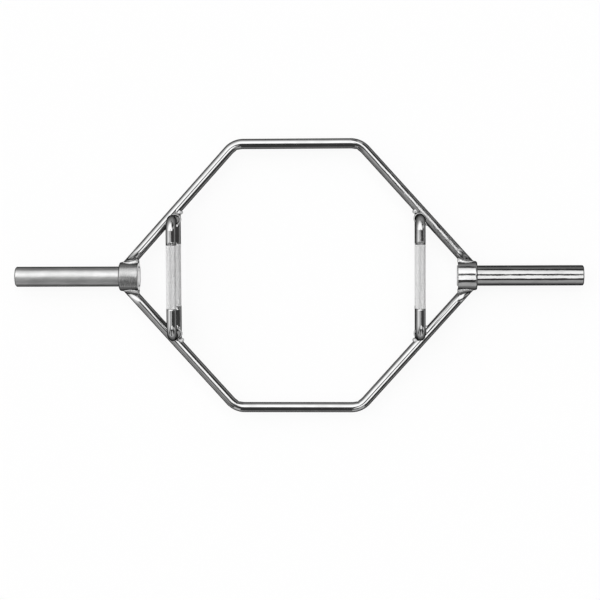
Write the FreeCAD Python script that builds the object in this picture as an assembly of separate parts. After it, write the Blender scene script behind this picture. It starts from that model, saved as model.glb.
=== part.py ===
import FreeCAD, Part
import math
import os

# Hex trap bar with grips at two heights. Two bent bars form a hexagon that the lifter stands in,
# a collar at each end joins them and carries a plate sleeve, and every joint is welded.
# X runs along the sleeves, Y across the hexagon and Z up. The origin is on the floor under the
# middle of the bar, level with the lowest line of the collars. All sizes are in millimetres.

# Plate sleeves
sleeve_diameter = 50.0
sleeve_length = 261.0        # outside the collar
sleeve_wall = 8.0
sleeve_end_chamfer = 2.5
spigot_step = 3.0            # depth turned off the part of the sleeve that sits in the collar
end_plug_length = 14.0
inner_plug_length = 10.0
plug_chamfer = 1.0           # on the face of a plug that shows

# Collars
collar_wall = 13.9           # round the spigot
collar_gap = 792.0           # between the two inboard faces
collar_edge_radius = 5.0     # on the outboard rim
collar_face_chamfer = 0.8    # on the inboard rim

# Hexagon of bent bars, measured along the bars' axes
bar_diameter = 25.4
hexagon_width = 655.0        # between the two long sides
long_side = 310.0            # corner to corner
frame_bend_radius = 50.0

# Grips, made from the same bar stock
grip_skim = 0.2              # depth turned off the stock before knurling
grip_spacing = 605.0         # between the left and right grips
high_grip_rise = 105.0       # from the low grip up to the high grip
grip_bend_radius = 28.0
leg_inset = 22.0             # along the grip, from the frame bar's axis to the leg's axis

# Welds
collar_weld_radius = 4.0     # frame bars to collars
collar_weld_margin = 4.0     # on the collar, beyond each side of the frame bar's end
grip_weld_radius = 4.0       # low grips to frame bars
grip_weld_half_height = 10.0 # how far that weld runs up and down the grip
leg_weld_height = 5.0        # up the leg of a high grip
leg_weld_spread = 5.0        # out from the leg
leg_weld_depth = 9.0         # down the bars under the leg
sleeve_weld_leg = 4.0        # groove round the spigot
sleeve_weld_crown = 1.0      # swell of that weld over the collar's inboard face

# Fits
fit_clearance = 0.1          # radial, between pieces pushed into each other
root_gap = 0.2               # between pieces that a weld joins

# Radii and places that follow, for the right and rear quarter of the bar
sleeve_radius = sleeve_diameter / 2
sleeve_bore_radius = sleeve_radius - sleeve_wall
spigot_radius = sleeve_radius - spigot_step
plug_radius = sleeve_bore_radius - fit_clearance
collar_bore_radius = spigot_radius + fit_clearance
collar_radius = collar_bore_radius + collar_wall
bar_radius = bar_diameter / 2
grip_radius = bar_radius - grip_skim
axis_height = collar_radius
corner_x = long_side / 2
corner_y = hexagon_width / 2
grip_x = grip_spacing / 2

# The inboard side of a frame bar's slanted run meets the collar at the toe. Carried on, the run's
# axis meets the sleeve's axis at the apex.
collar_inner_x = collar_gap / 2
seat_start_x = collar_inner_x + collar_face_chamfer
toe_run = seat_start_x + collar_weld_margin - corner_x
toe_drop = corner_y - collar_radius
slant_angle = math.atan2(toe_run, toe_drop) + math.asin(bar_radius / math.hypot(toe_run, toe_drop))
slant_run = math.tan(slant_angle)
apex_x = corner_x + slant_run * corner_y

# The collar is as long as the slanted cut through the frame bar and the weld round it.
bar_seat_length = bar_diameter / math.cos(slant_angle)
seat_end_x = seat_start_x + bar_seat_length + 2 * collar_weld_margin
collar_outer_x = seat_end_x + collar_edge_radius
sleeve_end_x = collar_outer_x + sleeve_length

# The low grip ends at the slanted run, and the legs of the high grip stand a little inside.
grip_end_y = (apex_x - grip_x) / slant_run
leg_y = grip_end_y - leg_inset
leg_foot_z = axis_height + grip_radius + root_gap
high_grip_z = axis_height + high_grip_rise

X_AXIS = FreeCAD.Vector(1, 0, 0)
Y_AXIS = FreeCAD.Vector(0, 1, 0)
Z_AXIS = FreeCAD.Vector(0, 0, 1)
ORIGIN = FreeCAD.Vector(0, 0, 0)
TOUCH = 1e-4                 # distance under which a point counts as lying on a surface


def point(x, y, z=axis_height):
    return FreeCAD.Vector(x, y, z)


def straight_bar(start, end, radius):
    """Round bar from one point to another."""
    run = end - start
    return Part.makeCylinder(radius, run.Length, start, run)


def bent_bar(points, radius, bend_radius):
    """Round bar that follows the points, with a bend at each inner one."""
    edges = []
    start = points[0]
    for before, here, after in zip(points, points[1:], points[2:]):
        back = (before - here).normalize()
        on = (after - here).normalize()
        half_angle = back.getAngle(on) / 2
        tangent = bend_radius / math.tan(half_angle)
        rise = bend_radius / math.sin(half_angle) - bend_radius
        middle = here + (back + on).normalize() * rise
        bend_start = here + back * tangent
        bend_end = here + on * tangent
        edges.append(Part.makeLine(start, bend_start))
        edges.append(Part.Arc(bend_start, middle, bend_end).toShape())
        start = bend_end
    edges.append(Part.makeLine(start, points[-1]))
    section = Part.Wire(Part.makeCircle(radius, points[0], points[1] - points[0]))
    return Part.Wire(edges).makePipeShell([section], True, False)


def on_section(x, radius):
    """Point of a section that is turned about the sleeve's axis."""
    return point(x, 0, axis_height + radius)


def turned(section):
    """Solid turned about the sleeve's axis."""
    return Part.Face(section).revolve(point(0, 0), X_AXIS, 360)


def chain(points):
    """Straight edges from each point to the next."""
    return [Part.makeLine(start, end) for start, end in zip(points, points[1:])]


def outline(corners):
    """Closed section through (x, radius) corners."""
    points = [on_section(x, radius) for x, radius in corners]
    return Part.Wire(chain(points + points[:1]))


def lies_on(edge, solid):
    middle = edge.valueAt((edge.FirstParameter + edge.LastParameter) / 2)
    return Part.Vertex(middle).distToShape(solid.Shells[0])[0] < TOUCH


def fillet_weld(first, second, radius):
    """Concave weld along the line where two bars meet, without the bars."""
    joined = first.fuse(second)
    seam = [edge for edge in joined.Edges if lies_on(edge, first) and lies_on(edge, second)]
    return joined.makeFillet(radius, seam).cut(first).cut(second)


def collar():
    """Thick ring with a rounded outboard rim and a weld groove round the bore inboard."""
    rounding_radius = collar_radius - collar_edge_radius
    diagonal = collar_edge_radius * math.sqrt(0.5)
    rim = Part.Arc(
        on_section(seat_end_x, collar_radius),
        on_section(seat_end_x + diagonal, rounding_radius + diagonal),
        on_section(collar_outer_x, rounding_radius),
    )
    walls = chain([
        on_section(collar_outer_x, rounding_radius),
        on_section(collar_outer_x, collar_bore_radius),
        on_section(collar_inner_x + sleeve_weld_leg, collar_bore_radius),
        on_section(collar_inner_x, collar_bore_radius + sleeve_weld_leg),
        on_section(collar_inner_x, collar_radius - collar_face_chamfer),
        on_section(seat_start_x, collar_radius),
        on_section(seat_end_x, collar_radius),
    ])
    return turned(Part.Wire([rim.toShape()] + walls))


def sleeve():
    """Tube with a chamfered end, stepped down where it passes through the collar."""
    return turned(outline([
        (collar_inner_x, sleeve_bore_radius),
        (collar_inner_x, spigot_radius),
        (collar_outer_x, spigot_radius),
        (collar_outer_x, sleeve_radius),
        (sleeve_end_x - sleeve_end_chamfer, sleeve_radius),
        (sleeve_end_x, sleeve_radius - sleeve_end_chamfer),
        (sleeve_end_x, sleeve_bore_radius),
    ]))


def plug(face_x, inner_x):
    """Disc that closes an end of the sleeve's bore, chamfered at the face that shows."""
    inward = math.copysign(plug_chamfer, inner_x - face_x)
    return turned(outline([
        (face_x, 0),
        (face_x, plug_radius - plug_chamfer),
        (face_x + inward, plug_radius),
        (inner_x, plug_radius),
        (inner_x, 0),
    ]))


def sleeve_weld():
    """Ring weld in the groove between the spigot and the collar, swelling inboard."""
    root = on_section(collar_inner_x + sleeve_weld_leg, spigot_radius)
    outer_toe = on_section(collar_inner_x, spigot_radius + sleeve_weld_leg)
    crown = on_section(collar_inner_x - sleeve_weld_crown, spigot_radius + sleeve_weld_leg / 2)
    inner_toe = on_section(collar_inner_x, spigot_radius)
    face = Part.Arc(outer_toe, crown, inner_toe).toShape()
    return turned(Part.Wire([face] + chain([inner_toe, root, outer_toe])))


def frame_bar():
    """Half of the hexagon, with both ends cut to sit on the collars."""
    path = [point(-apex_x, 0), point(-corner_x, corner_y), point(corner_x, corner_y), point(apex_x, 0)]
    return bent_bar(path, bar_radius, frame_bend_radius).cut(collar_line(root_gap))


def collar_line(gap):
    """Both collars' outer wall, run on as one long cylinder and grown by a gap."""
    start = point(-sleeve_end_x, 0)
    return Part.makeCylinder(collar_radius + gap, 2 * sleeve_end_x, start, X_AXIS)


def slanted_run(gap):
    """Straight run of the rear frame bar at the right, grown by a gap."""
    return straight_bar(point(corner_x, corner_y), point(apex_x, 0), bar_radius + gap)


def grip_run():
    """Low grip before its ends are cut to the frame bars."""
    return straight_bar(point(grip_x, -grip_end_y), point(grip_x, grip_end_y), grip_radius)


def low_grip():
    rear_bar = slanted_run(root_gap)
    front_bar = rear_bar.mirror(ORIGIN, Y_AXIS)
    return grip_run().cut(rear_bar).cut(front_bar)


def high_grip():
    """U of bent bar whose legs stand on the ends of the low grip."""
    path = [
        point(grip_x, -leg_y, leg_foot_z),
        point(grip_x, -leg_y, high_grip_z),
        point(grip_x, leg_y, high_grip_z),
        point(grip_x, leg_y, leg_foot_z),
    ]
    return bent_bar(path, grip_radius, grip_bend_radius)


def collar_weld():
    """Weld of the rear frame bar on the right collar, kept on the collar's straight wall."""
    seat = straight_bar(point(seat_start_x, 0), point(seat_end_x, 0), 2 * collar_radius)
    return fillet_weld(slanted_run(0), collar_line(0), collar_weld_radius).common(seat)


def beside_grip(inner_x, outer_x):
    """Block that holds the weld on one side of the right grip's rear end."""
    low = point(inner_x, 0, axis_height - grip_weld_half_height)
    return Part.makeBox(outer_x - inner_x, corner_y, 2 * grip_weld_half_height, low)


def outer_grip_weld():
    """Fillet in the narrow corner between the low grip and the frame bar, on the collar's side."""
    weld = fillet_weld(slanted_run(0), grip_run(), grip_weld_radius)
    return weld.common(beside_grip(grip_x, collar_inner_x))


def inner_grip_weld():
    """Round bead in the wide corner between the low grip and the frame bar, inside the hexagon."""
    joint = point(grip_x, grip_end_y)
    along_grip = -Y_AXIS
    along_bar = (point(corner_x, corner_y) - joint).normalize()
    outward = (along_grip + along_bar).normalize()
    reach = bar_radius / math.sin(along_grip.getAngle(along_bar) / 2)
    seam = Part.Ellipse(joint + outward * reach, joint + Z_AXIS * bar_radius, joint)
    path = Part.ArcOfEllipse(seam, -math.pi / 2, math.pi / 2).toShape()
    start = path.valueAt(path.FirstParameter)
    section = Part.Wire(Part.makeCircle(grip_weld_radius, start, path.tangentAt(path.FirstParameter)))
    bead = Part.Wire([path]).makePipeShell([section], True, False)
    return bead.cut(slanted_run(0)).cut(grip_run()).common(beside_grip(0, grip_x))


def high_grip_weld(welds_below):
    """Convex weld round the rear leg of the right high grip, lying on the bars and their welds."""
    top_z = leg_foot_z + leg_weld_height
    bottom_z = leg_foot_z - leg_weld_depth
    wall_x = grip_x + grip_radius
    top = point(wall_x, leg_y, top_z)
    swell = point(wall_x + leg_weld_spread, leg_y, leg_foot_z)
    bottom = point(wall_x - leg_weld_spread / 2, leg_y, bottom_z)
    axis_top = point(grip_x, leg_y, top_z)
    axis_bottom = point(grip_x, leg_y, bottom_z)
    face = Part.Arc(top, swell, bottom).toShape()
    section = Part.Wire([face] + chain([bottom, axis_bottom, axis_top, top]))
    bead = Part.Face(section).revolve(axis_bottom, Z_AXIS, 360)
    leg = straight_bar(point(grip_x, leg_y, leg_foot_z), point(grip_x, leg_y, high_grip_z), grip_radius)
    for solid in [leg, grip_run(), slanted_run(0)] + welds_below:
        bead = bead.cut(solid)
    return bead


def at_side(shape, side):
    return shape if side == "right" else shape.mirror(ORIGIN, X_AXIS)


def at_end(shape, end):
    return shape if end == "rear" else shape.mirror(ORIGIN, Y_AXIS)


grip_welds = [outer_grip_weld(), inner_grip_weld()]
side_pieces = {
    "collar": collar(),
    "sleeve": sleeve(),
    "sleeve_end_plug": plug(sleeve_end_x, sleeve_end_x - end_plug_length),
    "sleeve_inner_plug": plug(collar_inner_x, collar_inner_x + inner_plug_length),
    "sleeve_weld": sleeve_weld(),
    "low_grip": low_grip(),
    "high_grip": high_grip(),
}
corner_pieces = {
    "collar_weld": collar_weld(),
    "low_grip_outer_weld": grip_welds[0],
    "low_grip_inner_weld": grip_welds[1],
    "high_grip_weld": high_grip_weld(grip_welds),
}

pieces = {}
for end in ("front", "rear"):
    pieces[f"{end}_frame_bar"] = at_end(frame_bar(), end)
for side in ("left", "right"):
    for name, shape in side_pieces.items():
        pieces[f"{side}_{name}"] = at_side(shape, side)
    for end in ("front", "rear"):
        for name, shape in corner_pieces.items():
            pieces[f"{end}_{side}_{name}"] = at_end(at_side(shape, side), end)

os.makedirs("parts", exist_ok=True)
for name, shape in pieces.items():
    shape.exportStep(f"parts/{name}.step")
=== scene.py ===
import math

import bpy
from mathutils import Euler, Matrix, Vector, noise


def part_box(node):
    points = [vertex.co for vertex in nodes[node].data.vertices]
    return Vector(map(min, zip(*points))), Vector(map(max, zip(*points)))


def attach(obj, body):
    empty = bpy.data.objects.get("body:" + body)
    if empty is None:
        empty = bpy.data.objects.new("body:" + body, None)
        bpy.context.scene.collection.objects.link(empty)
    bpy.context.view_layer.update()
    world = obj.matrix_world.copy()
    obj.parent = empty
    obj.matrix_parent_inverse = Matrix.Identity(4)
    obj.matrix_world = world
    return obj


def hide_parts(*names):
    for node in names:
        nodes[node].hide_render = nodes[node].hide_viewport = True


# Looks of a hex trap bar, laid over its solids. All lengths are in metres.

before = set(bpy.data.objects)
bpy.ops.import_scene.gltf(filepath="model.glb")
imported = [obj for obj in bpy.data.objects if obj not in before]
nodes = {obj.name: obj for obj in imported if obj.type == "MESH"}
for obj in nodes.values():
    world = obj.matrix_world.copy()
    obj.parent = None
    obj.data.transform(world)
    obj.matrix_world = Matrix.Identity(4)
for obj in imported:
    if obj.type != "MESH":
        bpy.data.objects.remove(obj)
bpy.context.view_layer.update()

SIDES = {"left": -1, "right": 1}
ENDS = {"front": -1, "rear": 1}
X_AXIS = Vector((1, 0, 0))
Y_AXIS = Vector((0, 1, 0))
Z_AXIS = Vector((0, 0, 1))

# Camera, placed by the corners, sleeves and grips that the photograph shows
IMAGE_SIZE = 600                       # pixels, square
SENSOR_WIDTH = 36.0                    # mm
FOCAL_PIXELS = 1772.5
CAMERA_PLACE = Vector((0.2206, 0.2399, 4.4247))
CAMERA_TILT = Euler((math.radians(-3.914), math.radians(2.782), math.radians(-0.306)))

# Studio
FLOOR_SIZE = 80.0
FLOOR_RISE = 4.6                       # of the backdrop at the floor's edges
FLOOR_DROP = 0.0004                    # below the lowest line of the collars
FLOOR_GLOW = 0.90                      # share of the floor's brightness that needs no light
FLOOR_TONE = 0.95

# Sky, laid out flat round the zenith: x to the right, y to the rear, the horizon at radius 1.
# A panel is its left, right, front and rear edge. An edge is where its light starts and where it is full.
# A fade is its start, its end and the level at each, counted from the zenith.
SKY_STRENGTH = 2.25                    # of the full lights, at which a level surface gets plain light
DARK_LEVEL = 0.035                     # where no light reaches
NADIR_GUARD = 0.05                     # keeps the layout finite straight below
LAMP_LEFT = 0.010
LAMP_SOFTNESS = 0.008
REAR_LIGHT_FRONT = (0.045, 0.065)
REAR_LIGHT_RIGHT = (0.45, 0.39)        # slanted, counted along x + slant y
REAR_LIGHT_SLANT = 0.6
REAR_LIGHT_LEFT_HALF = (0.012, 0.0)    # which the slanted edge doesn't cut
REAR_LIGHT_FADE = (0.35, 0.9, 1.0, 0.25)
BEAM = (LAMP_LEFT, 0.066, 0.05, 0.175)  # dark, in front of the rear light
LEFT_LIGHT_RIGHT = (-0.10, -0.15)
LEFT_LIGHT_FRONT = (-0.3, 0.45)        # slanted, counted along y - x
LEFT_LIGHT_FADE = (0.2, 0.8, 0.75, 0.35)
FRONT_LAMP = (LAMP_LEFT, 0.20, -0.27, -0.06)
SMALL_LAMP = (LAMP_LEFT, 0.064, -0.10, 0.045)
FRONT_WALL = (LAMP_LEFT, 0.25, -1.0, -0.5)
FRONT_WALL_SOFTNESS = 0.02
FRONT_WALL_LEVEL = 0.35
UPRIGHT_COUNT = 8                      # upright lights all round
UPRIGHT_EDGE = (-0.3, -0.7)            # in the cosine of the turn between two of them
UPRIGHT_TOP = (0.35, 0.45)
UPRIGHT_LEVEL = 0.38

# Sizes read from the frame
bar_low, bar_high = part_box("rear_frame_bar")
grip_low, grip_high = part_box("right_low_grip")
u_low, u_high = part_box("right_high_grip")
collar_low, collar_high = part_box("right_collar")
BAR_RADIUS = (bar_high.z - bar_low.z) / 2
AXIS_HEIGHT = (bar_high.z + bar_low.z) / 2
CORNER_Y = bar_high.y - BAR_RADIUS
GRIP_RADIUS = (grip_high.x - grip_low.x) / 2
GRIP_X = (grip_high.x + grip_low.x) / 2
LEG_Y = u_high.y - GRIP_RADIUS
LEG_FOOT_Z = u_low.z
HIGH_GRIP_Z = u_high.z - GRIP_RADIUS
COLLAR_RADIUS = (collar_high.z - collar_low.z) / 2

# Sizes that no box of the frame gives
CORNER_X = 0.155                       # from the middle of the bar to a corner of the hexagon
APEX_X = 0.45037                       # where the axes of two slanted runs would meet
FRAME_BEND_RADIUS = 0.050
GRIP_BEND_RADIUS = 0.028
ROOT_GAP = 0.0002                      # between a bar's cut end and what it is welded to
RUN_TRIM = 0.2                         # share of a slanted run, from its apex, left to the coped end
LOW_GRIP_REACH = 0.12                  # from the middle of a low grip to where its coped ends start

# Bars
BAR_SEGMENTS = 72
STRAIGHT_STEP = 0.012
BEND_STEPS = 28
DENT_DEPTH = 0.0020                    # left by the bending die in the middle of a bend's inner side
DENT_LENGTH = 0.0035

# Knurl
KNURL_LENGTH = 0.155
KNURL_SHIFT = 0.0035                   # of the knurled band towards the rear
KNURL_ROW = 0.00075                    # half the length of a diamond
KNURL_SEGMENTS = 104                   # points round the grip, two for each diamond
KNURL_PEAK = 0.00010                   # over the grip's radius
KNURL_GROOVE = 0.00035                 # under it

# Welds
WELD_VOXEL = 0.0005
RIPPLE_ANGLE = math.radians(9)
RIPPLE_HEIGHT = 0.00022
RIPPLE_SINK = 0.6                      # share of a ripple that lies below the bead's plain surface
LUMP_HEIGHT = 0.00012
LUMPS_PER_METRE = 400
RELAX_FACTOR = 0.5                     # of the smoothing that evens out a bead's surface
RELAX_STEPS = 4
COLLAR_WELD_SWELL = 0.0040             # fullness of a bead beyond its plain fillet
GRIP_WELD_SWELL = 0.0012
LEG_WELD_SPREAD = 0.4                  # share of its solid's spread that a leg weld shows

# Chrome. A tinted coat over the plating gives the dark edges that the photograph shows; it is painted
# shade, in place of the dark surroundings that chrome mirrors.
CHROME_TONE = 0.95
LEG_TONE = 0.70
PAINTED_SHADE_TINT = 0.45
SLEEVE_PAINTED_SHADE_TINT = 0.37
GRIP_PAINTED_SHADE_TINT = 0.50
CLEAR_PAINTED_SHADE_TINT = 1.0
LEG_PAINTED_SHADE_TINT = 0.85
KNURL_PAINTED_SHADE_TINT = 0.92
WELD_PAINTED_SHADE_TINT = 0.82
WORN_PAINTED_SHADE_TINT = 0.64
FLANK_PAINTED_SHADE = 0.68                     # share of a painted-shade tint left on the flanks of a bar, so the flanks carry more painted shade
LEVEL_PAINTED_SHADE_IOR = 1.5                   # of the painted-shade coat along the top and bottom of a bar
FLANK_PAINTED_SHADE_IOR = 1.0
LEVEL_RANGE = (0.68, 0.82)             # upward share of the normal, from a flank to a level side
END_FACE_RANGE = (0.80, 0.95)          # sideways share of the normal, from a turned side to an end face
NOISE_RANGE = (0.3, 0.7)               # in which most values of a noise lie
NOISE_DETAIL = 3.0

# Marks on the drawn bars. Scales are in repeats per metre, round and along the bar.
SCRATCH_SCALE = (1500, 15, 0)
SCRATCH_RANGE = (0.4, 0.8)
POLISHED_ROUGHNESS = (0.03, 0.09)
BAR_WAVE_SCALE = (50, 30, 0)
BAR_WAVE_DETAIL = 1.0
BAR_WAVE_DEPTH = 0.0002
BAR_TONE_SPAN = (0.92, 1.08)
BRUSHED_SCALE = (450, 22, 0)
BRUSHED_DEPTH = 0.0009
BRUSHED_ROUGHNESS = 0.05               # on top of the polished one
BRUSHED_BLEND = 0.02                   # over which it sets in, from the middle of the bar to the rear
LEG_BLEND = 0.002                      # over which the look of the legs sets in, above the frame bars

# Grain of the knurl and the welds, in repeats per metre
KNURL_GRAIN_SCALE = (900, 900, 900)
KNURL_GRAIN_DEPTH = 0.00005
KNURL_TONE_SPAN = (0.85, 1.15)
KNURL_ROUGHNESS = (0.4, 0.55)
WELD_GRAIN_SCALE = (700, 700, 700)
WELD_GRAIN_DEPTH = 0.0001
WELD_STAIN_SCALE = (120, 120, 120)
WELD_TONE_SPAN = (0.8, 1.1)
WELD_ROUGHNESS = (0.3, 0.5)

# Marks on the turned pieces, in repeats per metre along X, Y and Z
RING_SCALE = (1600, 8, 8)
TURNED_WAVE_SCALE = (22, 110, 110)
PIT_SCALE = (380, 380, 380)
TURNED_STAIN_SCALE = (25, 60, 60)
TURNED_TONE_SPAN = (0.9, 1.1)
TURNED_ROUGHNESS_SPAN = (0.8, 1.2)

# Turned pieces, worn and satin on the left and bright on the right, each with its tint of painted edge
# shade
BRIGHT_TURNING = {"tone": CHROME_TONE, "roughness": 0.06, "ring_depth": 0.00001, "wave_depth": 0.0003}
COLLAR_LOOKS = {
    "left": {
        "name": "collar_worn_look", "tone": 0.52, "painted_shade_tint": WORN_PAINTED_SHADE_TINT, "roughness": 0.26,
        "ring_depth": 0.00002, "wave_depth": 0.0006, "pit_depth": 0.0006,
    },
    "right": {
        "name": "collar_bright_look", "painted_shade_tint": PAINTED_SHADE_TINT, "pit_depth": 0.00004,
        **BRIGHT_TURNING,
    },
}
SLEEVE_LOOKS = {
    "left": {
        "name": "sleeve_worn_look", "tone": 0.75, "painted_shade_tint": WORN_PAINTED_SHADE_TINT, "roughness": 0.42,
        "ring_depth": 0.00004, "wave_depth": 0.0002, "pit_depth": 0.00006,
    },
    "right": {
        "name": "sleeve_bright_look", "painted_shade_tint": SLEEVE_PAINTED_SHADE_TINT, "pit_depth": 0.00003,
        **BRIGHT_TURNING,
    },
}


class Nodes:
    """Short way to write a node tree."""

    def __init__(self, owner):
        owner.use_nodes = True
        self.tree = owner.node_tree
        self.tree.nodes.clear()

    def add(self, kind, inputs=None, **settings):
        node = self.tree.nodes.new(kind)
        for name, value in settings.items():
            setattr(node, name, value)
        for name, value in (inputs or {}).items():
            socket = node.inputs[name]
            if isinstance(value, bpy.types.NodeSocket):
                self.tree.links.new(value, socket)
            else:
                socket.default_value = (value, value, value, 1.0) if socket.type == "RGBA" else value
        return node

    def math(self, operation, *values):
        return self.add("ShaderNodeMath", dict(enumerate(values)), operation=operation).outputs[0]

    def product(self, first, *others):
        result = first
        for other in others:
            result = self.math("MULTIPLY", result, other)
        return result

    def highest(self, first, *others):
        result = first
        for other in others:
            result = self.math("MAXIMUM", result, other)
        return result

    def ramp(self, value, start, end, low=0.0, high=1.0):
        """Smooth step of a value from one level to another."""
        step = self.add("ShaderNodeMapRange", {
            "Value": value, "From Min": start, "From Max": end, "To Min": low, "To Max": high,
        }, interpolation_type="SMOOTHSTEP")
        return step.outputs["Result"]

    def blend(self, mask, low, high):
        """Value that goes from one level to another as a mask goes from 0 to 1."""
        return self.ramp(mask, 0.0, 1.0, low, high)

    def vary(self, grain, middle, span):
        """Value that a noise moves round its middle."""
        return self.ramp(grain, *NOISE_RANGE, middle * span[0], middle * span[1])

    def noise(self, place, scale, detail=NOISE_DETAIL):
        """Noise of a place that is first scaled along each axis."""
        scaled = self.add("ShaderNodeVectorMath", {0: place, 1: scale}, operation="MULTIPLY").outputs[0]
        grain = self.add("ShaderNodeTexNoise", {"Vector": scaled, "Scale": 1.0, "Detail": detail})
        return grain.outputs["Fac"]

    def relief(self, height, depth, under=None):
        """Normal of a surface whose height varies by a depth, laid over another one."""
        inputs = {"Height": height, "Distance": depth, "Strength": 1.0}
        if under is not None:
            inputs["Normal"] = under
        return self.add("ShaderNodeBump", inputs).outputs["Normal"]


# Studio


def make_floor():
    material = bpy.data.materials.new("floor")
    tree = Nodes(material)
    path = tree.add("ShaderNodeLightPath").outputs
    seen = tree.highest(path["Is Camera Ray"], path["Is Glossy Ray"], path["Is Transmission Ray"])
    share = tree.product(seen, FLOOR_GLOW)
    matt = tree.add("ShaderNodeBsdfDiffuse", {"Color": FLOOR_TONE})
    glow = tree.add("ShaderNodeEmission", {"Color": 1.0, "Strength": 1.0})
    mix = tree.add("ShaderNodeMixShader", {0: share, 1: matt.outputs[0], 2: glow.outputs[0]})
    tree.add("ShaderNodeOutputMaterial", {"Surface": mix.outputs[0]})
    half = FLOOR_SIZE / 2
    corners = [(-half, -half), (half, -half), (half, half), (-half, half)]
    points = [(x, y, z) for z in (-FLOOR_DROP, FLOOR_RISE) for x, y in corners]
    walls = [(k, (k + 1) % 4, (k + 1) % 4 + 4, k + 4) for k in range(4)]
    mesh = bpy.data.meshes.new("floor")
    mesh.from_pydata(points, [], [(0, 1, 2, 3)] + walls)
    mesh.materials.append(material)
    floor = bpy.data.objects.new("floor", mesh)
    bpy.context.scene.collection.objects.link(floor)


def make_world():
    """Studio with a large soft light behind and to the left, and dark walls in front and to the right."""
    world = bpy.data.worlds.new("studio")
    tree = Nodes(world)
    direction = tree.add("ShaderNodeTexCoord").outputs["Generated"]
    direction = tree.add("ShaderNodeSeparateXYZ", {0: direction}).outputs
    depth = tree.math("MAXIMUM", tree.math("ADD", direction["Z"], 1.0), NADIR_GUARD)
    x = tree.math("DIVIDE", direction["X"], depth)
    y = tree.math("DIVIDE", direction["Y"], depth)
    from_zenith = tree.math("SQRT", tree.math("ADD", tree.product(x, x), tree.product(y, y)))

    def panel(edges, softness=LAMP_SOFTNESS):
        left, right, front, rear = edges
        return tree.product(
            tree.ramp(x, left - softness, left + softness),
            tree.ramp(x, right + softness, right - softness),
            tree.ramp(y, front - softness, front + softness),
            tree.ramp(y, rear + softness, rear - softness),
        )

    slanted = tree.math("MULTIPLY_ADD", y, REAR_LIGHT_SLANT, x)
    rear_light = tree.product(
        tree.ramp(y, *REAR_LIGHT_FRONT),
        tree.highest(tree.ramp(slanted, *REAR_LIGHT_RIGHT), tree.ramp(x, *REAR_LIGHT_LEFT_HALF)),
        tree.math("SUBTRACT", 1.0, panel(BEAM)),
        tree.ramp(from_zenith, *REAR_LIGHT_FADE),
    )
    left_light = tree.product(
        tree.ramp(x, *LEFT_LIGHT_RIGHT),
        tree.ramp(tree.math("SUBTRACT", y, x), *LEFT_LIGHT_FRONT),
        tree.ramp(from_zenith, *LEFT_LIGHT_FADE),
    )
    front_lamps = tree.highest(panel(FRONT_LAMP), panel(SMALL_LAMP))
    front_wall = tree.product(panel(FRONT_WALL, FRONT_WALL_SOFTNESS), FRONT_WALL_LEVEL)
    turn = tree.math("COSINE", tree.product(tree.math("ARCTAN2", y, x), UPRIGHT_COUNT))
    uprights = tree.product(
        tree.ramp(turn, *UPRIGHT_EDGE),
        tree.ramp(from_zenith, *UPRIGHT_TOP),
        UPRIGHT_LEVEL,
    )
    walls = tree.highest(left_light, front_wall, uprights, DARK_LEVEL)
    light = tree.product(tree.highest(rear_light, front_lamps, walls), SKY_STRENGTH)
    background = tree.add("ShaderNodeBackground", {"Color": 1.0, "Strength": light})
    tree.add("ShaderNodeOutputWorld", {"Surface": background.outputs[0]})
    bpy.context.scene.world = world


def make_camera():
    data = bpy.data.cameras.new("camera")
    data.sensor_width = SENSOR_WIDTH
    data.lens = FOCAL_PIXELS / IMAGE_SIZE * SENSOR_WIDTH
    data.clip_end = FLOOR_SIZE
    camera = bpy.data.objects.new("camera", data)
    camera.location = CAMERA_PLACE
    camera.rotation_euler = CAMERA_TILT
    bpy.context.scene.collection.objects.link(camera)
    bpy.context.scene.camera = camera


# Materials


def lay_painted_shade(tree, normal, painted_shade_tint):
    """Mask of the sides that face up or down, and the painted-shade coat's tint and index there and on
    the flanks, where the shade is darker.
    """
    upward = tree.math("ABSOLUTE", tree.add("ShaderNodeSeparateXYZ", {0: normal}).outputs["Z"])
    level = tree.ramp(upward, *LEVEL_RANGE)
    painted_shade = tree.blend(level, painted_shade_tint * FLANK_PAINTED_SHADE, painted_shade_tint)
    return level, painted_shade, tree.blend(level, FLANK_PAINTED_SHADE_IOR, LEVEL_PAINTED_SHADE_IOR)


def finish_chrome(tree, tone, roughness, normal, painted_shade, edge=0.0, painted_shade_ior=FLANK_PAINTED_SHADE_IOR):
    """Plated steel, whose coat tint and edge tint paint shade where the surface turns away."""
    shader = tree.add("ShaderNodeBsdfPrincipled", {
        "Base Color": tone, "Metallic": 1.0, "Roughness": roughness, "Normal": normal,
        "Specular Tint": edge, "Coat Weight": 1.0, "Coat IOR": painted_shade_ior, "Coat Tint": painted_shade,
    })
    tree.add("ShaderNodeOutputMaterial", {"Surface": shader.outputs[0]})


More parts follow.
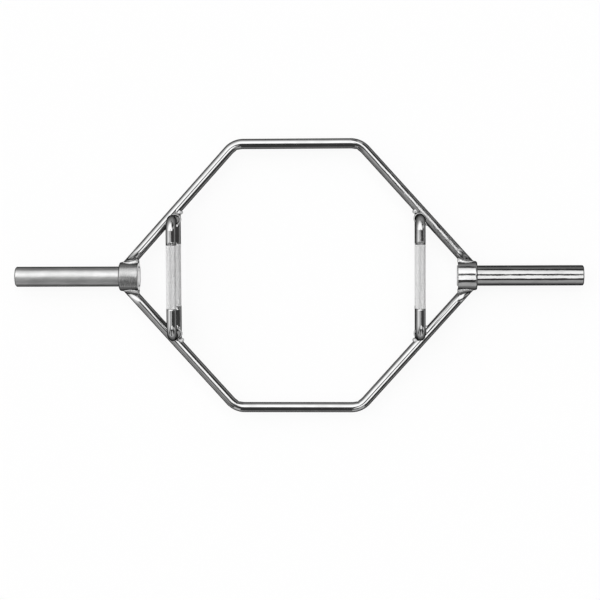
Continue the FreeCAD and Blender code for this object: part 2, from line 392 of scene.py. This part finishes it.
def drawn_chrome(name, painted_shade_tint):
    """Polished bar with faint scratches along it, brushed on the rear right run, with painted edge shade
    that is lighter on the legs, where the tone is darker.
    """
    material = bpy.data.materials.new(name)
    tree = Nodes(material)
    coordinates = tree.add("ShaderNodeTexCoord").outputs
    place = tree.add("ShaderNodeSeparateXYZ", {0: coordinates["Object"]}).outputs
    brushed = tree.product(
        tree.ramp(place["X"], CORNER_X, collar_low.x),
        tree.ramp(place["Y"], 0.0, BRUSHED_BLEND),
    )
    upright = tree.product(
        tree.ramp(place["Z"], bar_high.z, bar_high.z + LEG_BLEND),
        tree.ramp(place["Z"], HIGH_GRIP_Z - GRIP_RADIUS, HIGH_GRIP_Z - GRIP_BEND_RADIUS),
    )
    level, painted_shade, painted_shade_ior = lay_painted_shade(tree, coordinates["Normal"], painted_shade_tint)
    # painted shade: lighter on the legs than on the flanks of the frame
    painted_shade = tree.blend(upright, painted_shade, LEG_PAINTED_SHADE_TINT)
    scratches = tree.noise(coordinates["UV"], SCRATCH_SCALE)
    streaks = tree.noise(coordinates["UV"], BRUSHED_SCALE)
    waves = tree.noise(coordinates["UV"], BAR_WAVE_SCALE, BAR_WAVE_DETAIL)
    tone = tree.product(tree.vary(waves, 1.0, BAR_TONE_SPAN), tree.blend(upright, CHROME_TONE, LEG_TONE))
    roughness = tree.ramp(scratches, *SCRATCH_RANGE, *POLISHED_ROUGHNESS)
    roughness = tree.math("ADD", roughness, tree.product(brushed, BRUSHED_ROUGHNESS))
    normal = tree.relief(waves, BAR_WAVE_DEPTH)
    normal = tree.relief(tree.product(streaks, brushed), BRUSHED_DEPTH, normal)
    # Specular Tint 0 on the flanks and 1 on legs and level sides paints the flanks darker at grazing
    # angles
    finish_chrome(tree, tone, roughness, normal, painted_shade, tree.highest(upright, level), painted_shade_ior)
    return material


def knurl_chrome(name):
    """Cut diamonds, whose flanks are less smooth than the polished bar."""
    material = bpy.data.materials.new(name)
    tree = Nodes(material)
    place = tree.add("ShaderNodeTexCoord").outputs["Object"]
    grain = tree.noise(place, KNURL_GRAIN_SCALE)
    tone = tree.vary(grain, CHROME_TONE, KNURL_TONE_SPAN)
    roughness = tree.ramp(grain, *NOISE_RANGE, *KNURL_ROUGHNESS)
    # the coat tint here is a light painted edge shade
    finish_chrome(tree, tone, roughness, tree.relief(grain, KNURL_GRAIN_DEPTH), KNURL_PAINTED_SHADE_TINT)
    return material


def weld_chrome(name):
    """Plated weld bead with a grainy skin."""
    material = bpy.data.materials.new(name)
    tree = Nodes(material)
    place = tree.add("ShaderNodeTexCoord").outputs["Object"]
    grain = tree.noise(place, WELD_GRAIN_SCALE)
    stain = tree.noise(place, WELD_STAIN_SCALE)
    tone = tree.vary(stain, CHROME_TONE, WELD_TONE_SPAN)
    roughness = tree.ramp(grain, *NOISE_RANGE, *WELD_ROUGHNESS)
    # the coat tint here is a light painted edge shade
    finish_chrome(tree, tone, roughness, tree.relief(grain, WELD_GRAIN_DEPTH), WELD_PAINTED_SHADE_TINT)
    return material


def turned_chrome(name, tone, painted_shade_tint, roughness, ring_depth, wave_depth, pit_depth):
    """Lathe-turned surface round the X axis, with marks of turning and use, and painted edge shade
    everywhere but on its inboard face.
    """
    material = bpy.data.materials.new(name)
    tree = Nodes(material)
    coordinates = tree.add("ShaderNodeTexCoord").outputs
    place = coordinates["Object"]
    normal = coordinates["Normal"]
    from_middle = tree.math("ABSOLUTE", tree.add("ShaderNodeSeparateXYZ", {0: place}).outputs["X"])
    sideways = tree.math("ABSOLUTE", tree.add("ShaderNodeSeparateXYZ", {0: normal}).outputs["X"])
    inboard = tree.product(
        tree.ramp(sideways, *END_FACE_RANGE),
        tree.ramp(from_middle, collar_high.x, collar_low.x),
    )
    level, painted_shade, painted_shade_ior = lay_painted_shade(tree, normal, painted_shade_tint)
    # painted shade everywhere but on the inboard face; Specular Tint 0 away from the inboard face and
    # level sides paints darker grazing edges
    painted_shade = tree.blend(inboard, painted_shade, CLEAR_PAINTED_SHADE_TINT)
    rings = tree.noise(place, RING_SCALE)
    waves = tree.noise(place, TURNED_WAVE_SCALE)
    pits = tree.noise(place, PIT_SCALE)
    stain = tree.noise(place, TURNED_STAIN_SCALE)
    shade = tree.vary(stain, tone, TURNED_TONE_SPAN)
    gloss = tree.vary(rings, roughness, TURNED_ROUGHNESS_SPAN)
    normal = tree.relief(rings, ring_depth)
    normal = tree.relief(waves, wave_depth, normal)
    normal = tree.relief(pits, pit_depth, normal)
    finish_chrome(tree, shade, gloss, normal, painted_shade, tree.highest(inboard, level), painted_shade_ior)
    return material


# Bars


def point(x, y, z=AXIS_HEIGHT):
    return Vector((x, y, z))


def straight(start, end):
    """Points from a start up to an end, both included."""
    count = max(1, math.ceil((end - start).length / STRAIGHT_STEP))
    return [start.lerp(end, k / count) for k in range(count + 1)]


def bent_path(points, bend_radius):
    """(centre, tangent) stations of a bar bent at each inner point, and (middle, inward) of each bend."""
    stations = []
    bends = []
    start = points[0]
    for before, here, after in zip(points, points[1:], points[2:]):
        back = (before - here).normalized()
        on = (after - here).normalized()
        half_angle = back.angle(on) / 2
        reach = bend_radius / math.tan(half_angle)
        inward = (back + on).normalized()
        centre = here + inward * bend_radius / math.sin(half_angle)
        bend_start = here + back * reach
        stations += [(place, -back) for place in straight(start, bend_start)]
        axis = on.cross(back).normalized()
        turn = math.pi - 2 * half_angle
        for k in range(1, BEND_STEPS):
            spin = Matrix.Rotation(turn * k / BEND_STEPS, 3, axis)
            stations.append((centre + spin @ (bend_start - centre), spin @ -back))
        start = here + on * reach
        bends.append((centre - inward * bend_radius, inward))
    heading = (points[-1] - start).normalized()
    stations += [(place, heading) for place in straight(start, points[-1])]
    return stations, bends


def ring(centre, tangent, normal, radii):
    """Points round a bar's axis, one for each radius."""
    across = normal.cross(tangent)
    points = []
    for k, radius in enumerate(radii):
        angle = 2 * math.pi * k / len(radii)
        points.append(centre + (across * math.cos(angle) + normal * math.sin(angle)) * radius)
    return points


def cope(points, direction, axis_point, axis, radius):
    """Slides the points of a bar's end along it until they lie on a cylinder."""
    along = direction - axis * direction.dot(axis)
    slid = []
    for place in points:
        offset = place - axis_point
        offset = offset - axis * offset.dot(axis)
        a = along.dot(along)
        b = along.dot(offset)
        c = offset.dot(offset) - radius * radius
        travel = (-b - math.sqrt(b * b - a * c)) / a
        slid.append(place + direction * travel)
    return slid


def skin(name, rings, knurl_rows=range(0)):
    """Closed mesh over rings of points, mapped by the lengths round and along the bar.

    Knurled rows are split into triangles along their grooves, which are shaded flat.
    """
    count = len(rings[0])
    faces = []
    for row in range(len(rings) - 1):
        for k in range(count):
            a, b, c, d = (row, k), (row, k + 1), (row + 1, k + 1), (row + 1, k)
            if row not in knurl_rows:
                faces.append((a, b, c, d))
            elif (row + k) % 2 == 0:
                faces += [(a, b, c), (a, c, d)]
            else:
                faces += [(a, b, d), (b, c, d)]
    faces.append([(0, k) for k in reversed(range(count))])
    faces.append([(len(rings) - 1, k) for k in range(count)])
    mesh = bpy.data.meshes.new(name)
    points = [place for one in rings for place in one]
    mesh.from_pydata(points, [], [[row * count + k % count for row, k in face] for face in faces])
    along = [0.0]
    for before, here in zip(rings, rings[1:]):
        along.append(along[-1] + (here[0] - before[0]).length)
    step = 2 * math.pi * BAR_RADIUS / count
    lengths = [value for face in faces for row, k in face for value in (k * step, along[row])]
    mesh.uv_layers.new(name="lengths").data.foreach_set("uv", lengths)
    for polygon in mesh.polygons:
        polygon.use_smooth = len(polygon.vertices) == 4
        polygon.material_index = 1 if len(polygon.vertices) == 3 else 0
    return mesh


def place_piece(mesh, node, materials):
    """Adds a piece that is shown in place of a solid."""
    for material in materials:
        mesh.materials.append(material)
    piece = bpy.data.objects.new(mesh.name, mesh)
    bpy.context.scene.collection.objects.link(piece)
    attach(piece, "root")
    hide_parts(node)


def dented_ring(centre, tangent, bends):
    """Ring of a frame bar, pressed in where a bend's inner side touched the die."""
    across = Z_AXIS.cross(tangent)
    radii = []
    for k in range(BAR_SEGMENTS):
        angle = 2 * math.pi * k / BAR_SEGMENTS
        outward = across * math.cos(angle) + Z_AXIS * math.sin(angle)
        radius = BAR_RADIUS
        for middle, inward in bends:
            near = math.exp(-(centre - middle).length / DENT_LENGTH)
            radius -= DENT_DEPTH * near * max(0.0, outward.dot(inward)) ** 2
        radii.append(radius)
    return ring(centre, tangent, Z_AXIS, radii)


def frame_bar(end):
    corners = [point(side * CORNER_X, ENDS[end] * CORNER_Y) for side in SIDES.values()]
    apexes = [point(side * APEX_X, 0) for side in SIDES.values()]
    ends = [apex.lerp(corner, RUN_TRIM) for apex, corner in zip(apexes, corners)]
    stations, bends = bent_path([ends[0], *corners, ends[1]], FRAME_BEND_RADIUS)
    rings = [dented_ring(centre, tangent, bends) for centre, tangent in stations]
    gap_radius = COLLAR_RADIUS + ROOT_GAP
    first = cope(rings[0], -stations[0][1], point(0, 0), X_AXIS, gap_radius)
    last = cope(rings[-1], stations[-1][1], point(0, 0), X_AXIS, gap_radius)
    return skin(f"{end}_frame_bar_look", [first] + rings + [last])


def knurl_rings(centre, normal):
    """Rings of a knurled band along Y, whose points lie high and low in turn."""
    rows = round(KNURL_LENGTH / KNURL_ROW)
    rings = []
    for row in range(rows + 1):
        heights = [-KNURL_GROOVE] * KNURL_SEGMENTS
        if 0 < row < rows:
            heights = [KNURL_PEAK if (row + k) % 2 else -KNURL_GROOVE for k in range(KNURL_SEGMENTS)]
        place = centre + Y_AXIS * (row / rows - 0.5) * KNURL_LENGTH
        rings.append(ring(place, Y_AXIS, normal, [GRIP_RADIUS + height for height in heights]))
    return rings


def grip_rings(stations, normal, middle):
    """Rings before, along and after the knurled band of a grip that runs along Y there."""
    plain = [GRIP_RADIUS] * KNURL_SEGMENTS
    centre = middle + Y_AXIS * KNURL_SHIFT
    half = Y_AXIS * KNURL_LENGTH / 2
    before = []
    after = []
    for place, heading in stations:
        along = place.y - centre.y
        if abs(along) < KNURL_LENGTH / 2:
            continue
        group = before if along < 0 else after
        group.append(ring(place, heading, normal, plain))
    before.append(ring(centre - half, Y_AXIS, normal, plain))
    after.insert(0, ring(centre + half, Y_AXIS, normal, plain))
    return before, knurl_rings(centre, normal), after


def low_grip(side):
    middle = point(SIDES[side] * GRIP_X, 0)
    reach = Y_AXIS * LOW_GRIP_REACH
    stations = [(place, Y_AXIS) for place in straight(middle - reach, middle + reach)]
    before, band, after = grip_rings(stations, Z_AXIS, middle)
    apex = point(SIDES[side] * APEX_X, 0)
    runs = [(point(SIDES[side] * CORNER_X, end * CORNER_Y) - apex).normalized() for end in ENDS.values()]
    gap_radius = BAR_RADIUS + ROOT_GAP
    before.insert(0, cope(before[0], -Y_AXIS, apex, runs[0], gap_radius))
    after.append(cope(after[-1], Y_AXIS, apex, runs[1], gap_radius))
    knurl_rows = range(len(before), len(before) + len(band) - 1)
    return skin(f"{side}_low_grip_look", before + band + after, knurl_rows)


def high_grip(side):
    x = SIDES[side] * GRIP_X
    path = [point(x, -LEG_Y, LEG_FOOT_Z), point(x, -LEG_Y, HIGH_GRIP_Z),
            point(x, LEG_Y, HIGH_GRIP_Z), point(x, LEG_Y, LEG_FOOT_Z)]
    stations, _ = bent_path(path, GRIP_BEND_RADIUS)
    before, band, after = grip_rings(stations, X_AXIS, point(x, 0, HIGH_GRIP_Z))
    knurl_rows = range(len(before), len(before) + len(band) - 1)
    return skin(f"{side}_high_grip_look", before + band + after, knurl_rows)


# Welds


def slimmed(place, axis_point, axis):
    """Place of a point of a leg weld, drawn in towards the leg."""
    offset = place - axis_point
    across = offset - axis * offset.dot(axis)
    spread = max(0.0, across.length - GRIP_RADIUS)
    return place - across.normalized() * spread * (1 - LEG_WELD_SPREAD)


def even_mesh(node_name):
    """Copy of a weld's solid with a fine and even mesh."""
    source = bpy.data.objects.new("weld_source", nodes[node_name].data.copy())
    bpy.context.scene.collection.objects.link(source)
    remesh = source.modifiers.new("even", "REMESH")
    remesh.mode = "VOXEL"
    remesh.voxel_size = WELD_VOXEL
    relax = source.modifiers.new("relax", "SMOOTH")
    relax.factor = RELAX_FACTOR
    relax.iterations = RELAX_STEPS
    shown = source.evaluated_get(bpy.context.evaluated_depsgraph_get())
    mesh = bpy.data.meshes.new_from_object(shown)
    mesh.name = node_name + "_look"
    bpy.data.objects.remove(source)
    mesh.materials.clear()
    return mesh


def weld(node_name, axis_point, axis, swell, is_slim):
    """Weld bead, swollen and raised in ripples round an axis.

    On the collar the swelling fades outwards, and the bead stays behind the inboard face.
    """
    mesh = even_mesh(node_name)
    side_a = axis.orthogonal().normalized()
    side_b = axis.cross(side_a)
    raised = []
    for vertex in mesh.vertices:
        offset = vertex.co - axis_point
        angle = math.atan2(offset.dot(side_b), offset.dot(side_a))
        ripple = abs(math.sin(math.pi * angle / RIPPLE_ANGLE)) - RIPPLE_SINK
        lump = noise.noise(vertex.co * LUMPS_PER_METRE)
        along = (abs(vertex.co.x) - collar_low.x) / (collar_high.x - collar_low.x)
        height = swell * (1 - max(0.0, along)) + RIPPLE_HEIGHT * ripple + LUMP_HEIGHT * lump
        place = vertex.co + vertex.normal * height
        if along >= 0:
            place.x = math.copysign(max(abs(place.x), collar_low.x), place.x)
        raised.append(slimmed(place, axis_point, axis) if is_slim else place)
    for vertex, place in zip(mesh.vertices, raised):
        vertex.co = place
    for polygon in mesh.polygons:
        polygon.use_smooth = True
    return mesh


def weld_axes(side, end):
    """Point and direction that each weld of a corner runs round, its swell and whether it is slim."""
    x = SIDES[side] * GRIP_X
    apex = point(SIDES[side] * APEX_X, 0)
    run = (point(SIDES[side] * CORNER_X, ENDS[end] * CORNER_Y) - apex).normalized()
    grip_end = apex + run * ((x - apex.x) / run.x)
    return {
        "collar_weld": (apex, run, COLLAR_WELD_SWELL, False),
        "low_grip_outer_weld": (grip_end, run.cross(Z_AXIS), GRIP_WELD_SWELL, False),
        "low_grip_inner_weld": (grip_end, run.cross(Z_AXIS), GRIP_WELD_SWELL, False),
        "high_grip_weld": (point(x, ENDS[end] * LEG_Y), Z_AXIS, GRIP_WELD_SWELL, True),
    }


bpy.context.scene.view_settings.view_transform = "Standard"
make_floor()
make_world()
make_camera()

frame_look = drawn_chrome("frame_chrome_look", PAINTED_SHADE_TINT)
grip_look = drawn_chrome("grip_chrome_look", GRIP_PAINTED_SHADE_TINT)
knurl_look = knurl_chrome("knurl_chrome_look")
weld_look = weld_chrome("weld_chrome_look")

for side in SIDES:
    nodes[f"{side}_collar"].material_slots[0].material = turned_chrome(**COLLAR_LOOKS[side])
    nodes[f"{side}_sleeve_weld"].material_slots[0].material = weld_look
    sleeve_look = turned_chrome(**SLEEVE_LOOKS[side])
    for part in ("sleeve", "sleeve_end_plug", "sleeve_inner_plug"):
        nodes[f"{side}_{part}"].material_slots[0].material = sleeve_look
    place_piece(low_grip(side), f"{side}_low_grip", [grip_look, knurl_look])
    place_piece(high_grip(side), f"{side}_high_grip", [grip_look, knurl_look])
    for end in ENDS:
        for kind, course in weld_axes(side, end).items():
            name = f"{end}_{side}_{kind}"
            place_piece(weld(name, *course), name, [weld_look])
for end in ENDS:
    place_piece(frame_bar(end), f"{end}_frame_bar", [frame_look])
